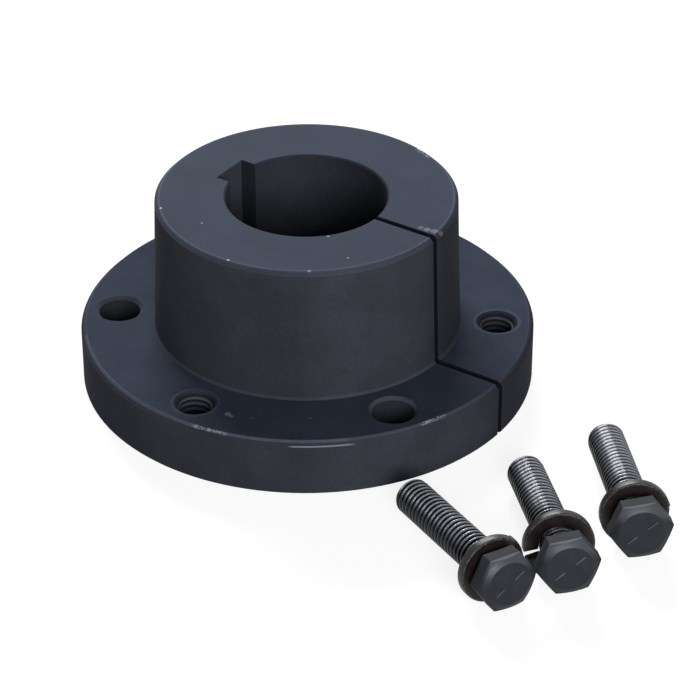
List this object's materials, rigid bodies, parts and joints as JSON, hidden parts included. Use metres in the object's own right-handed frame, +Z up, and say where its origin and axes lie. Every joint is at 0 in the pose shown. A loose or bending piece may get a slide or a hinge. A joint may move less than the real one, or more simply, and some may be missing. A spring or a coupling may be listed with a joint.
{
  "type": "flanged taper bushing",
  "caption": "Flanged taper bushing with a keyed bore, slit through one side to clamp a shaft in a tapered hub, with its hex cap screws and spring lock washers lying beside it.",
  "frame": {"origin": "where the bore axis meets the flange's lower face, on the table", "axes": "+Z up along the bore from the flange to the barrel's small end, +X to the right and +Y away from the viewer of the picture"},
  "size_m": [0.1462, 0.1689, 0.0513],
  "materials": {
    "bushing_finish": "dark blue-grey phosphate, matte",
    "screw_finish": "black oxide, satin",
    "washer_finish": "brown-black oxide, satin"
  },
  "bodies": {
    "root": {"taper_bushing": "bushing_finish", "cap_screw_left": "screw_finish", "cap_screw_middle": "screw_finish", "cap_screw_right": "screw_finish", "lock_washer_left": "washer_finish", "lock_washer_middle": "washer_finish", "lock_washer_right": "washer_finish"}
  },
  "joints": []
}
